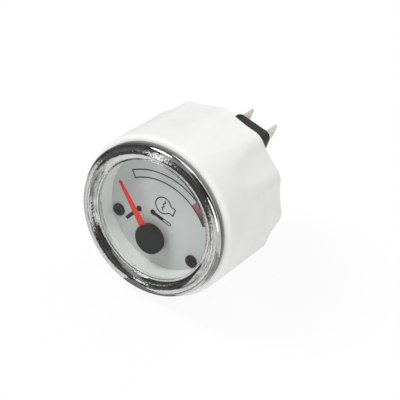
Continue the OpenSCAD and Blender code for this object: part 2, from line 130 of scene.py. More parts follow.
def turnedMesh(name, outline, steps=roundSteps["ring"], centre=(0, 0), shape=None):
    # a closed outline of (radius, depth) turned about the Y axis, or about a centre in x and z.
    # shape gives the radius again from the angle, the radius and the depth.
    vertices, rings = [], []
    for radius, depth in outline:
        count = 1 if radius < 1e-6 else steps       # one point on the axis, or a ring
        rings.append(range(len(vertices), len(vertices) + count))
        for k in range(count):
            angle = 2 * math.pi * k / steps
            r = shape(angle, radius, depth) if shape else radius
            vertices.append((centre[0] + r * math.sin(angle), depth, centre[1] + r * math.cos(angle)))
    faces = []
    for one, two in zip(rings, rings[1:] + rings[:1]):
        for k in range(steps):
            if len(one) > 1 or len(two) > 1:
                last = (k + 1) % steps
                face = [one[k % len(one)], one[last % len(one)], two[last % len(two)], two[k % len(two)]]
                faces.append(list(dict.fromkeys(face)))
    return meshFrom(name, vertices, faces)


def slabMesh(name, outline, front, back):
    # a closed outline of (x, z) given thickness along Y
    count = len(outline)
    vertices = [(x, front, z) for x, z in outline] + [(x, back, z) for x, z in outline]
    faces = [list(range(count)), list(range(2 * count - 1, count - 1, -1))]
    faces += [[k, k + count, (k + 1) % count + count, (k + 1) % count] for k in range(count)]
    return meshFrom(name, vertices, faces)


def addObject(name, data):
    thing = bpy.data.objects.new(name, data)
    scene.collection.objects.link(thing)
    return thing


def addPiece(name, mesh, body, material, replaced=(), sharp=35):
    # sharp is the angle in degrees from which an edge stays sharp
    piece = addObject(name, mesh)
    mesh.materials.append(material)
    mesh.shade_smooth()
    mesh.set_sharp_from_angle(angle=math.radians(sharp))
    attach(piece, body)
    if replaced:
        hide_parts(*replaced)
    return piece


def loftMesh(name, rings):
    # a solid through rings that all have the same number of points, closed at both ends
    count = len(rings[0])
    vertices = [point for ring in rings for point in ring]
    faces = [list(range(count)), list(range(len(vertices) - count, len(vertices)))]
    for start in range(0, len(vertices) - count, count):
        for k in range(count):
            after = (k + 1) % count
            faces.append([start + k, start + after, start + count + after, start + count + k])
    return meshFrom(name, vertices, faces)


def cutAway(mesh, cutters):
    # the mesh with the cutters' meshes taken out of it
    body = addObject("body", mesh)
    tools = [addObject("cutter", cutter) for cutter in cutters]
    for tool in tools:
        cut = body.modifiers.new("cut", "BOOLEAN")
        cut.operation = "DIFFERENCE"
        cut.solver = "EXACT"
        cut.object = tool
    bpy.context.view_layer.update()
    solved = body.evaluated_get(bpy.context.evaluated_depsgraph_get())
    result = bpy.data.meshes.new_from_object(solved)
    result.name = mesh.name
    for thing in tools + [body]:
        bpy.data.objects.remove(thing)
    return result


def boxMesh(low, high, turn=0.0, centre=(0, 0)):
    # a cutter: a box between two corners, turned about the Y axis through a centre in x and z
    corners = [(x, y, z) for x in (low[0], high[0]) for y in (low[1], high[1]) for z in (low[2], high[2])]
    spin = Matrix.Rotation(math.radians(turn), 3, "Y")
    moved = [spin @ Vector(c) + Vector((centre[0], 0, centre[1])) for c in corners]
    faces = [(0, 1, 3, 2), (4, 6, 7, 5), (0, 4, 5, 1), (2, 3, 7, 6), (0, 2, 6, 4), (1, 5, 7, 3)]
    return meshFrom("box", moved, faces)


# Node groups
print("materials")


def newGroup(name, inputs, outputs):
    group = bpy.data.node_groups.new(name, "ShaderNodeTree")
    for label, kind, value in inputs:
        socket = group.interface.new_socket(name=label, in_out="INPUT", socket_type="NodeSocket" + kind)
        socket.default_value = value
    for label, kind in outputs:
        group.interface.new_socket(name=label, in_out="OUTPUT", socket_type="NodeSocket" + kind)
    return group, group.nodes.new("NodeGroupInput"), group.nodes.new("NodeGroupOutput")


def addNode(tree, kind, values=None, **settings):
    node = tree.nodes.new("ShaderNode" + kind)
    for key, value in settings.items():
        setattr(node, key, value)
    for key, value in (values or {}).items():
        node.inputs[key].default_value = value
    return node


def joinUp(tree, *wires):
    # each wire is a node and its output, then a node and its input
    for start, outlet, end, inlet in wires:
        tree.links.new(start.outputs[outlet], end.inputs[inlet])


def noiseAt(tree, size, detail=2.0, rough=0.5):
    # noise over the piece itself, with a grain of size millimetres
    place = addNode(tree, "TexCoord")
    noise = addNode(tree, "TexNoise", {"Detail": detail, "Roughness": rough, "Scale": 1 / (size * mm)})
    joinUp(tree, (place, "Object", noise, "Vector"))
    return noise


def makeSurfaceGroup():
    # two tones that drift into each other, an uneven roughness and a fine grain
    group, entry, leave = newGroup("uneven surface", [
        ("Light tone", "Color", (0.8, 0.8, 0.8, 1)), ("Dark tone", "Color", (0.7, 0.7, 0.7, 1)),
        ("Smooth", "Float", 0.3), ("Rough", "Float", 0.5), ("Patch scale", "Float", 120.0),
        ("Grain scale", "Float", 3000.0)],
        [("Color", "Color"), ("Roughness", "Float"), ("Height", "Float")])
    place = addNode(group, "TexCoord")
    patches = addNode(group, "TexNoise", {"Detail": 3.0, "Roughness": 0.55})
    grain = addNode(group, "TexNoise", {"Detail": 2.0, "Roughness": 0.6})
    spread = addNode(group, "MapRange", {"From Min": 0.35, "From Max": 0.65})
    tones = addNode(group, "Mix", data_type="RGBA")
    gloss = addNode(group, "Mix", data_type="FLOAT")
    joinUp(group, (place, "Object", patches, "Vector"), (place, "Object", grain, "Vector"),
           (entry, "Patch scale", patches, "Scale"), (entry, "Grain scale", grain, "Scale"),
           (patches, "Fac", spread, "Value"), (spread, "Result", tones, "Factor"),
           (entry, "Light tone", tones, "A"), (entry, "Dark tone", tones, "B"),
           (grain, "Fac", gloss, "Factor"), (entry, "Smooth", gloss, "A"), (entry, "Rough", gloss, "B"),
           (tones, "Result", leave, "Color"), (gloss, "Result", leave, "Roughness"),
           (grain, "Fac", leave, "Height"))
    return group


def makeWearGroup():
    # a mask that is 1 along outer edges, broken up by noise
    group, entry, leave = newGroup("edge wear", [("Start", "Float", 0.54), ("End", "Float", 0.62),
                                                 ("Scale", "Float", 900.0)], [("Mask", "Float")])
    shape = addNode(group, "NewGeometry")
    edge = addNode(group, "MapRange")
    place = addNode(group, "TexCoord")
    noise = addNode(group, "TexNoise", {"Detail": 3.0})
    patchy = addNode(group, "MapRange", {"From Min": 0.38, "From Max": 0.6})
    both = addNode(group, "Math", operation="MULTIPLY")
    joinUp(group, (shape, "Pointiness", edge, "Value"), (entry, "Start", edge, "From Min"),
           (entry, "End", edge, "From Max"), (place, "Object", noise, "Vector"),
           (entry, "Scale", noise, "Scale"), (noise, "Fac", patchy, "Value"), (edge, "Result", both, 0),
           (patchy, "Result", both, 1), (both, "Value", leave, "Mask"))
    return group


surfaceGroup = makeSurfaceGroup()
wearGroup = makeWearGroup()


def startMaterial(name):
    material = bpy.data.materials.new(name)
    material.use_nodes = True
    tree = material.node_tree
    return material, tree, tree.nodes["Principled BSDF"]


def rgb(red, green, blue):
    return (red, green, blue, 1)


def roughUp(tree, shader, height, strength, depth):
    # a Bump node between a height (a node and its output) and the shader, depth in millimetres
    bump = addNode(tree, "Bump", {"Strength": strength, "Distance": depth * mm})
    joinUp(tree, (*height, bump, "Height"), (bump, "Normal", shader, "Normal"))
    return bump


def placeSurface(tree, shader, look):
    # the uneven surface, joined to the shader's colour and roughness
    surface = addNode(tree, "Group", {
        "Light tone": rgb(*look["light"]), "Dark tone": rgb(*look["dark"]), "Smooth": look["smooth"],
        "Rough": look["rough"], "Patch scale": 1 / (look["patch"] * mm),
        "Grain scale": 1 / (look["grain"] * mm)}, node_tree=surfaceGroup)
    joinUp(tree, (surface, "Color", shader, "Base Color"), (surface, "Roughness", shader, "Roughness"))
    shader.inputs["Metallic"].default_value = look.get("metal", 0.0)
    return surface


def surfaceMaterial(name, look):
    # the plain case: one uneven surface with a fine grain, and light edges where look has "worn"
    material, tree, shader = startMaterial(name)
    surface = placeSurface(tree, shader, look)
    if "worn" in look:
        wear = addNode(tree, "Group", node_tree=wearGroup)
        mix = addNode(tree, "Mix", {"B": rgb(*look["worn"])}, data_type="RGBA")
        joinUp(tree, (wear, "Mask", mix, "Factor"), (surface, "Color", mix, "A"),
               (mix, "Result", shader, "Base Color"))
    shader.inputs["Specular IOR Level"].default_value = look.get("shine", 0.5)
    roughUp(tree, shader, (surface, "Height"), look.get("bump", 0.3), look.get("depth", 0.01))
    return material


# Tones, roughness between smooth and rough, and the sizes of patches and grain in millimetres
materialLooks = {
    "gasket_rubber": {"light": (0.30, 0.30, 0.295), "dark": (0.24, 0.24, 0.235), "smooth": 0.55,
                      "rough": 0.8, "patch": 6, "grain": 0.12, "bump": 0.5, "depth": 0.02},
    "seal_rubber": {"light": (0.74, 0.75, 0.73), "dark": (0.66, 0.67, 0.65), "smooth": 0.5,
                    "rough": 0.75, "patch": 4, "grain": 0.1, "bump": 0.4},
    "light_ring_white": {"light": (0.84, 0.85, 0.83), "dark": (0.80, 0.81, 0.79), "smooth": 0.35,
                         "rough": 0.5, "patch": 9, "grain": 0.3, "bump": 0.08},
    "black_screw": {"light": (0.018, 0.019, 0.018), "dark": (0.011, 0.012, 0.011), "smooth": 0.35,
                    "rough": 0.6, "patch": 1.5, "grain": 0.15, "bump": 0.3, "worn": (0.05, 0.05, 0.048),
                    "shine": 0.3},
    "cap_black": {"light": (0.020, 0.0215, 0.020), "dark": (0.016, 0.0175, 0.0165), "smooth": 0.5,
                  "rough": 0.68, "patch": 4, "grain": 0.14, "bump": 0.35, "shine": 0.25},
    "ground_edge": {"light": (0.80, 0.82, 0.80), "dark": (0.72, 0.75, 0.73), "smooth": 0.55, "rough": 0.75,
                    "patch": 3, "grain": 0.1, "bump": 0.4},
    "pointer_red": {"light": (0.72, 0.034, 0.014), "dark": (0.60, 0.026, 0.011), "smooth": 0.42,
                    "rough": 0.6, "patch": 5, "grain": 0.2, "bump": 0.12, "shine": 0.3},
    "brass": {"light": (0.60, 0.42, 0.16), "dark": (0.48, 0.32, 0.11), "smooth": 0.22, "rough": 0.45,
              "patch": 3, "grain": 0.15, "bump": 0.2, "metal": 1.0},
    "steel": {"light": (0.56, 0.56, 0.55), "dark": (0.44, 0.44, 0.43), "smooth": 0.25, "rough": 0.42,
              "patch": 5, "grain": 0.2, "bump": 0.2, "metal": 1.0},
    "magnet_grey": {"light": (0.085, 0.085, 0.09), "dark": (0.05, 0.05, 0.055), "smooth": 0.4,
                    "rough": 0.7, "patch": 2, "grain": 0.1, "bump": 0.4},
    "bobbin_plastic": {"light": (0.70, 0.67, 0.58), "dark": (0.62, 0.59, 0.50), "smooth": 0.35,
                       "rough": 0.55, "patch": 6, "grain": 0.2, "bump": 0.15},
    "tinned": {"light": (0.70, 0.70, 0.68), "dark": (0.55, 0.55, 0.53), "smooth": 0.25, "rough": 0.5,
               "patch": 1.5, "grain": 0.1, "bump": 0.3, "metal": 1.0},
    "lamp_clear": {"light": (0.86, 0.86, 0.80), "dark": (0.78, 0.78, 0.70), "smooth": 0.1, "rough": 0.2,
                   "patch": 3, "grain": 0.4, "bump": 0.05},
    "case_black": {"light": (0.020, 0.020, 0.020), "dark": (0.013, 0.013, 0.013), "smooth": 0.35,
                   "rough": 0.6, "patch": 8, "grain": 0.16, "bump": 0.3, "worn": (0.045, 0.045, 0.044)},
    "block_black": {"light": (0.012, 0.012, 0.011), "dark": (0.008, 0.008, 0.0075), "smooth": 0.36,
                    "rough": 0.55, "patch": 5, "grain": 0.14, "bump": 0.25, "worn": (0.03, 0.03, 0.028),
                    "shine": 0.2},
    "sheared_brass": {"light": (0.66, 0.64, 0.53), "dark": (0.52, 0.49, 0.38), "smooth": 0.4, "rough": 0.65,
                      "patch": 1.2, "grain": 0.08, "bump": 0.4, "metal": 0.4},
    "nut_white": {"light": (0.82, 0.82, 0.81), "dark": (0.79, 0.79, 0.775), "smooth": 0.42, "rough": 0.6,
                  "patch": 14, "grain": 0.25, "bump": 0.16, "depth": 0.012},
    "print_black": {"light": (0.014, 0.0145, 0.014), "dark": (0.022, 0.023, 0.022), "smooth": 0.45,
                    "rough": 0.65, "patch": 1.2, "grain": 0.12, "bump": 0.2, "shine": 0.3},
    # satin white paint with the faintest green grey
    "dial_white": {"light": (0.575, 0.59, 0.585), "dark": (0.53, 0.55, 0.545), "smooth": 0.4,
                   "rough": 0.55, "patch": 11, "grain": 0.18, "bump": 0.06, "depth": 0.006},
    # pale tin with the brass showing along worn edges
    "tinned_brass": {"light": (0.86, 0.86, 0.80), "dark": (0.78, 0.78, 0.71), "smooth": 0.35,
                     "rough": 0.55, "patch": 2.5, "grain": 0.12, "bump": 0.2, "metal": 0.4,
                     "worn": (0.70, 0.66, 0.50)},
}
materials = {name: surfaceMaterial(name, look) for name, look in materialLooks.items()}


def chromeMaterial():
    # bright plate over pressed steel: faint ripples from the press and a film of fine smudges
    look = {"light": (0.69, 0.69, 0.675), "dark": (0.61, 0.61, 0.60), "smooth": 0.02, "rough": 0.07,
            "patch": 5.0, "grain": 0.8, "metal": 1.0, "ripple": 3.2, "peel": 0.9, "deep": 0.03}
    material, tree, shader = startMaterial("chrome")
    placeSurface(tree, shader, look)
    ripples = noiseAt(tree, look["ripple"], rough=0.4)
    peel = noiseAt(tree, look["peel"])
    wide = roughUp(tree, shader, (ripples, "Fac"), 1.0, look["deep"])
    fine = roughUp(tree, shader, (peel, "Fac"), 1.0, look["deep"])
    joinUp(tree, (wide, "Normal", fine, "Normal"))
    return material


def glassMaterial():
    # flat pane: what is behind it shows straight through, and its face mirrors a little
    smear = 9           # millimetres
    material, tree, shader = startMaterial("glass")
    tree.nodes.remove(shader)
    out = tree.nodes["Material Output"]
    clear = addNode(tree, "BsdfTransparent", {"Color": (0.975, 0.984, 0.98, 1)})
    mirror = addNode(tree, "BsdfGlossy", {"Color": (1, 1, 1, 1)})
    fresnel = addNode(tree, "Fresnel", {"IOR": 1.3})
    side = addNode(tree, "NewGeometry")
    outside = addNode(tree, "Math", {0: 1.0}, operation="SUBTRACT")
    share = addNode(tree, "Math", operation="MULTIPLY")
    mix = addNode(tree, "MixShader")
    smears = noiseAt(tree, smear, detail=4.0, rough=0.6)
    film = addNode(tree, "MapRange", {"From Min": 0.35, "From Max": 0.75, "To Min": 0.01, "To Max": 0.12})
    joinUp(tree, (smears, "Fac", film, "Value"), (film, "Result", mirror, "Roughness"),
           (side, "Backfacing", outside, 1), (outside, "Value", share, 0), (fresnel, "Fac", share, 1),
           (share, "Value", mix, "Fac"), (clear, "BSDF", mix, 1), (mirror, "BSDF", mix, 2),
           (mix, "Shader", out, "Surface"))
    return material


def redZoneMaterial():
    # red ink that darkens towards the hot end, printed as fine dots
    look = {"start": (0.38, 0.14, 0.15), "end": (0.085, 0.068, 0.065), "from": 27, "to": 38,
            "dot": 0.45, "gloss": 0.8}
    material, tree, shader = startMaterial("print_red")
    place = addNode(tree, "TexCoord")
    parts = addNode(tree, "SeparateXYZ")
    height = addNode(tree, "Math", {1: hub.z * mm}, operation="SUBTRACT")
    angle = addNode(tree, "Math", operation="ARCTAN2")
    along = addNode(tree, "MapRange", {"From Min": math.radians(look["from"]),
                                       "From Max": math.radians(look["to"])})
    tones = addNode(tree, "Mix", {"A": rgb(*look["start"]), "B": rgb(*look["end"])}, data_type="RGBA")
    dots = addNode(tree, "TexVoronoi", {"Scale": 1 / (look["dot"] * mm)})
    soft = addNode(tree, "MapRange", {"From Min": 0.1, "From Max": 0.7, "To Min": 0.85, "To Max": 1.15})
    inked = addNode(tree, "VectorMath", operation="SCALE")
    gloss = noiseAt(tree, look["gloss"])
    rough = addNode(tree, "MapRange", {"To Min": 0.4, "To Max": 0.7})
    joinUp(tree, (place, "Object", parts, "Vector"), (parts, "Z", height, 0), (parts, "X", angle, 0),
           (height, "Value", angle, 1), (angle, "Value", along, "Value"),
           (along, "Result", tones, "Factor"), (place, "Object", dots, "Vector"),
           (dots, "Distance", soft, "Value"), (tones, "Result", inked, 0),
           (soft, "Result", inked, "Scale"), (inked, "Vector", shader, "Base Color"),
           (gloss, "Fac", rough, "Value"), (rough, "Result", shader, "Roughness"))
    return material


def windingMaterial():
    # enamelled copper wire, its turns as fine slanting ridges
    look = {"light": (0.62, 0.24, 0.09), "dark": (0.42, 0.14, 0.05), "smooth": 0.22, "rough": 0.42,
            "patch": 0.6, "grain": 0.15, "metal": 0.85, "wire": 0.9, "bump": 0.6,
            "depth": 0.06}
    material, tree, shader = startMaterial("copper_winding")
    placeSurface(tree, shader, look)
    place = addNode(tree, "TexCoord")
    wires = addNode(tree, "TexWave", {"Scale": 1 / (look["wire"] * mm), "Distortion": 0.6, "Detail": 1.0},
                    bands_direction="DIAGONAL")
    joinUp(tree, (place, "Object", wires, "Vector"))
    roughUp(tree, shader, (wires, "Fac"), look["bump"], look["depth"])
    return material


def boardMaterial():
    # green lacquer, with the tracks under it as raised paler lines
    look = {"cell": 9, "gloss": 2.5, "bump": 0.4, "depth": 0.03}
    material, tree, shader = startMaterial("board_green")
    place = addNode(tree, "TexCoord")
    tracks = addNode(tree, "TexBrick", {"Scale": 1 / (look["cell"] * mm), "Mortar Size": 0.035,
                                        "Color1": rgb(0.02, 0.11, 0.04), "Color2": rgb(0.028, 0.14, 0.05),
                                        "Mortar": rgb(0.05, 0.22, 0.07)})
    turn = addNode(tree, "Mapping", {"Rotation": (math.radians(90), 0, 0)})
    gloss = noiseAt(tree, look["gloss"])
    rough = addNode(tree, "MapRange", {"To Min": 0.25, "To Max": 0.5})
    joinUp(tree, (place, "Object", turn, "Vector"), (turn, "Vector", tracks, "Vector"),
           (tracks, "Color", shader, "Base Color"), (gloss, "Fac", rough, "Value"),
           (rough, "Result", shader, "Roughness"))
    roughUp(tree, shader, (tracks, "Fac"), look["bump"], look["depth"])
    return material


def resistorMaterial():
    # sand-coloured body with four plain colour bands, and bare leads past its ends
    look = {"light": (0.62, 0.48, 0.28), "dark": (0.52, 0.40, 0.22), "smooth": 0.3, "rough": 0.5,
            "patch": 1.5, "grain": 0.2, "half": 4.5, "width": 0.7, "lead": (0.7, 0.7, 0.68),
            "bump": 0.2, "depth": 0.02,
            "bands": {-2.8: (0.25, 0.10, 0.03), -1.5: (0.02, 0.02, 0.02), -0.2: (0.55, 0.05, 0.03),
                      2.6: (0.60, 0.40, 0.10)}}
    material, tree, shader = startMaterial("resistor_body")
    surface = placeSurface(tree, shader, look)
    place = addNode(tree, "TexCoord")
    parts = addNode(tree, "SeparateXYZ")
    away = addNode(tree, "Math", operation="ABSOLUTE")
    past = addNode(tree, "Math", {1: look["half"] * mm}, operation="GREATER_THAN")
    joinUp(tree, (place, "Object", parts, "Vector"), (parts, "X", away, 0), (away, "Value", past, 0))
    masks = []
    for middle, tone in look["bands"].items():
        inside = addNode(tree, "Math", {1: middle * mm, 2: look["width"] / 2 * mm}, operation="COMPARE")
        joinUp(tree, (parts, "X", inside, 0))
        masks.append((inside, tone))
    colour = surface, "Color"
    for mask, tone in masks + [(past, look["lead"])]:
        mix = addNode(tree, "Mix", {"B": rgb(*tone)}, data_type="RGBA")
        joinUp(tree, (mask, "Value", mix, "Factor"), (*colour, mix, "A"))
        colour = mix, "Result"
    joinUp(tree, (*colour, shader, "Base Color"))
    roughUp(tree, shader, (surface, "Height"), look["bump"], look["depth"])
    return material


materials.update({
    "chrome": chromeMaterial(), "glass": glassMaterial(), "print_red": redZoneMaterial(),
    "copper_winding": windingMaterial(), "board_green": boardMaterial(),
    "resistor_body": resistorMaterial(),
})


# The rim, the glass and what lies round them
print("rim and glass")
rimLook = {
    "shoulder": 1.5,        # radius of the outer shoulder
    "bandWidth": 4.3,       # crowned band, crest to inner edge
    "bandFall": 1.2,
    "ledgeWidth": 0.75,     # flat ledge in front of the glass
    "ledgeFront": 1.38,     # ledge behind the crest
    "ledgeEdge": 0.05,
    "sheet": 0.7,
    "lip": 1.5,             # folded in behind the flange
    "wallBack": 0.8,        # back of the folded lip, in front of the panel
    "lipEdges": (0.1, 0.2, 0.35),   # corner radii of the lip and of the flange
    "bandStart": -92,       # degrees on the band's own circle, just inside the crest
    "backStart": -84,       # where its rear face starts, with the band's own angle taken off
}


def makeRim(look):
    crest = rimRadius - look["shoulder"]
    bandRadius = (look["bandWidth"] ** 2 + look["bandFall"] ** 2) / (2 * look["bandFall"])
    bandEnd = math.degrees(math.asin(look["bandWidth"] / bandRadius))
    sheet = look["sheet"]
    ledge = rimFront + look["ledgeFront"]
    ledgeRadius = crest - look["bandWidth"]
    back = -look["wallBack"]
    edge = look["ledgeEdge"]
    lipRadius = rimRadius - sheet - look["lip"]
    inner, outer, flange = look["lipEdges"]
    outline = roundCorners([(lipRadius, back - sheet, inner), (lipRadius, back, outer),
                            (rimRadius, back, flange)], steps=4)
    outline += arcPoints((crest, rimFront + look["shoulder"]), look["shoulder"], 0, -90, steps=20)
    band = (crest, rimFront + bandRadius)
    outline += arcPoints(band, bandRadius, look["bandStart"], -90 - bandEnd, steps=24)
    outline += roundCorners([(ledgeRadius + edge, ledge - edge, 0), (ledgeRadius, ledge, edge),
                             (ledgeRadius - look["ledgeWidth"], ledge, edge),
                             (ledgeRadius - look["ledgeWidth"], ledge + sheet, edge),
                             (ledgeRadius + sheet, ledge + sheet, 0)], steps=4)
    outline += arcPoints(band, bandRadius - sheet, look["backStart"] - bandEnd, -90, steps=8)
    outline += arcPoints((crest, rimFront + look["shoulder"]), look["shoulder"] - sheet, -90, 0, steps=6)
    outline += [(rimRadius - sheet, back - sheet)]
    mesh = turnedMesh("bezel_rim", outline, roundSteps["rim"])
    addPiece("bezel_rim", mesh, "gauge_body", materials["chrome"], ["bezel"], sharp=50)


makeRim(rimLook)


ringLooks = {
    "gasket_ring": {"node": "panel_gasket", "inner": 26.3, "edge": 0.25, "material": "gasket_rubber"},
    "glass_seal": {"node": "lens_seal", "inner": 23.9, "edge": 0.15, "material": "seal_rubber"},
}


def makeSoftRing(name, look):
    # a flat ring with rounded edges in the place of a node
    inner, edge, material = look["inner"], look["edge"], look["material"]
    radius, front, back = turnedSize(look["node"])
    outline = roundCorners([(inner, front, edge), (radius, front, edge), (radius, back, edge),
                            (inner, back, edge)], steps=4)
    addPiece(name, turnedMesh(name, outline), "gauge_body", materials[material], [look["node"]])


for name, look in ringLooks.items():
    makeSoftRing(name, look)


def makeGlass():
    # clear pane with a ground edge; the flat rings keep its faces from shading into that edge
    look = {"edge": 0.2, "flat": glassRadius - 0.5, "facing": 0.9}
    outline = roundCorners([(0, glassFront, 0), (look["flat"], glassFront, 0),
                            (glassRadius, glassFront, look["edge"]), (glassRadius, glassBack, look["edge"]),
                            (look["flat"], glassBack, 0), (0, glassBack, 0)], steps=3)
    mesh = turnedMesh("dial_glass", outline)
    addPiece("dial_glass", mesh, "gauge_body", materials["glass"], ["lens"])
    mesh.materials.append(materials["ground_edge"])
    for face in mesh.polygons:
        if abs(face.normal.y) < look["facing"]:
            face.material_index = 1


makeGlass()


def makeShade():
    # the white wall between the glass and the dial, closing in a little towards its foot on the dial
    look = {"inner": 23.75, "foot": 23.4, "footHeight": 2.4, "footRound": 3.0, "flange": 1.03,
            "wall": 24.5, "lip": 0.25, "edge": 0.1}
    edge = look["edge"]
    outline = roundCorners([
        (look["inner"], shadeFront, look["lip"]), (shadeRadius, shadeFront, edge),
        (shadeRadius, look["flange"], edge), (look["wall"], look["flange"], edge),
        (look["wall"], dialFace, 0), (look["foot"], dialFace, edge),
        (look["inner"], dialFace - look["footHeight"], look["footRound"])], steps=8)
    mesh = turnedMesh("light_shade", outline, roundSteps["rim"])
    addPiece("light_shade", mesh, "gauge_body", materials["light_ring_white"],
                    ["shade_ring"], sharp=60)


makeShade()

# The dial
print("dial")
inkLook = {
    "thick": 0.03,
    "line": 0.46,
    "mitre": 2.0,           # the longest that a mitred corner may get, in line widths
    "band": {"outer": 25.98, "inner": 22.88, "from": -43.5, "to": 44.5, "red": 23.0, "redEnd": 44.2},
    "engine": {"centre": (-1.4, 1.8), "radius": 3.3,
               "neck": [(1.42, 3.62), (1.95, 3.3), (3.8, 3.3), (3.72, 0.3), (1.85, 0.36), (0.95, -0.5)]},
    "wave": {"top": 4.05, "bottom": -0.3, "x": -1.2, "swing": 0.32, "turns": 2.6},
    "hot": {"bulb": (-4.15, -3.58), "filled": (0.53, -3.75), "end": (4.2, -3.85), "radius": 1.15,
            "half": 0.7, "thin": 0.85},
    "cold": {"bulb": (-9.82, -5.98), "end": (-13.27, -13.14), "radius": 1.15, "half": 0.7},
}


def inkPiece(name, mesh, ink="print_black"):
    return addPiece(name, mesh, "gauge_body", materials[ink])


def strokeMesh(name, points, width, closed=False):
    # an ink line along points, mitred at its corners
    count = len(points)
    path = [Vector(p) for p in points]
    sides = []
    for k, here in enumerate(path):
        last = path[k - 1] if closed or k > 0 else here
        after = path[(k + 1) % count] if closed or k < count - 1 else here
        one = (here - last).normalized() if here != last else (after - here).normalized()
        two = (after - here).normalized() if after != here else one
        along = (one + two).normalized()
        across = Vector((-along.y, along.x))
        stretch = 1 / max(1 / inkLook["mitre"], along.dot(one))
        sides.append((here + across * width / 2 * stretch, here - across * width / 2 * stretch))
    front, back = dialFace - inkLook["thick"], dialFace
    vertices = []
    for left, right in sides:
        vertices += [(left.x, front, left.y), (right.x, front, right.y), (right.x, back, right.y),
                     (left.x, back, left.y)]
    faces = []
    for k in range(count if closed else count - 1):
        a, b = 4 * k, 4 * ((k + 1) % count)
        faces += [[a + i, a + (i + 1) % 4, b + (i + 1) % 4, b + i] for i in range(4)]
    if not closed:
        faces += [[3, 2, 1, 0], [4 * count - 4 + i for i in range(4)]]
    return meshFrom(name, vertices, faces)


def aboutHub(radius, clock):
    # a place on the dial, by its distance from the pointer axis and its clock angle in degrees
    turn = math.radians(clock)
    return Vector((radius * math.sin(turn), hub.z + radius * math.cos(turn)))


def hubArc(radius, first, last, steps):
    return [aboutHub(radius, first + (last - first) * k / steps) for k in range(steps + 1)]


def makeBand(look):
    outline = hubArc(look["outer"], look["from"], look["to"], steps=60)
    outline += hubArc(look["inner"], look["to"], look["from"], steps=60)
    inkPiece("scale_outline", strokeMesh("scale_outline", outline, inkLook["line"], True))
    gap = inkLook["line"] / 2
    red = hubArc(look["outer"] - gap, look["red"], look["redEnd"], steps=20)
    red += hubArc(look["inner"] + gap, look["redEnd"], look["red"], steps=20)
    inkPiece("red_zone", slabMesh("red_zone", red, dialFace - inkLook["thick"], dialFace), "print_red")


def makeEngine(look):
    # round body with a square neck
    centre, radius = Vector(look["centre"]), look["radius"]
    start = Vector(look["neck"][-1]) - centre
    end = Vector(look["neck"][0]) - centre
    first = math.degrees(math.atan2(start.y, start.x))
    last = math.degrees(math.atan2(end.y, end.x)) - 360
    outline = arcPoints(centre, radius, first, last, steps=48) + look["neck"][1:-1]
    inkPiece("engine_sign", strokeMesh("engine_sign", outline, inkLook["line"], True))


def makeWave(look):
    steps = 32
    points = []
    for k in range(steps + 1):
        share = k / steps
        height = look["top"] + (look["bottom"] - look["top"]) * share
        points.append((look["x"] - look["swing"] * math.cos(share * look["turns"] * 2 * math.pi), height))
    inkPiece("heat_wave", strokeMesh("heat_wave", points, inkLook["line"]))


def thermometerOutline(bulb, end, radius, half):
    # a round bulb with a straight stem that ends square at end
    along = (end - bulb).normalized()
    turn = math.degrees(math.atan2(along.y, along.x))
    mouth = math.degrees(math.asin(half / radius))
    across = Vector((-along.y, along.x)) * half
    outline = arcPoints(bulb, radius, turn + mouth, turn + 360 - mouth, steps=28)
    return outline + [end - across, end + across]


def makeThermometers(hot, cold):
    bulb, filled, end = Vector(hot["bulb"]), Vector(hot["filled"]), Vector(hot["end"])
    front = dialFace - inkLook["thick"]
    outline = thermometerOutline(bulb, filled, hot["radius"], hot["half"])
    inkPiece("hot_sign", slabMesh("hot_sign", outline, front, dialFace))
    along = (end - filled).normalized()
    turn = math.degrees(math.atan2(along.y, along.x))
    line = inkLook["line"] * hot["thin"]
    half = hot["half"] - line / 2
    across = Vector((-along.y, along.x)) * half
    tube = [filled + across] + arcPoints(end - along * half, half, turn + 90, turn - 90, steps=10)
    tube += [filled - across]
    inkPiece("hot_tube", strokeMesh("hot_tube", tube, line, True))
    bulb, end = Vector(cold["bulb"]), Vector(cold["end"])
    outline = thermometerOutline(bulb, end, cold["radius"], cold["half"])
    inkPiece("cold_sign", slabMesh("cold_sign", outline, front, dialFace))


makeBand(inkLook["band"])
makeEngine(inkLook["engine"])
makeWave(inkLook["wave"])
makeThermometers(inkLook["hot"], inkLook["cold"])


def makeDialScrews():
    # pan heads with a cross recess, and their shanks through the dial
    look = {"head": 2.45, "rise": 0.7, "shank": 1.2, "back": 12.7, "edge": 0.3, "arm": 0.55, "span": 1.35,
            "sink": 0.4, "seat": 0.08, "core": 0.2, "turns": (45, 135)}
    place = boxOf("dial_screws")[1].x - look["head"]
    core = look["core"]
    front = dialFace - look["rise"]
    for name, x in (("dial_screw_left", -place), ("dial_screw_right", place)):
        outline = [(0, front)] + roundCorners([
            (core, front, 0), (look["head"], front, look["edge"]), (look["head"], dialFace, look["seat"]),
            (look["shank"], dialFace, 0), (look["shank"], look["back"], core),
            (core, look["back"], 0)], steps=5)
        outline += [(0, look["back"])]
        head = turnedMesh(name, outline, roundSteps["screw"], (x, hub.z))
        arm, span = look["arm"] / 2, look["span"]
        cutters = [boxMesh((-span, front - 1, -arm), (span, front + look["sink"], arm), turn, (x, hub.z))
                   for turn in look["turns"]]
        piece = addPiece(name, cutAway(head, cutters), "gauge_body", materials["black_screw"])
        if x < 0:
            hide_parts("dial_screws")


makeDialScrews()

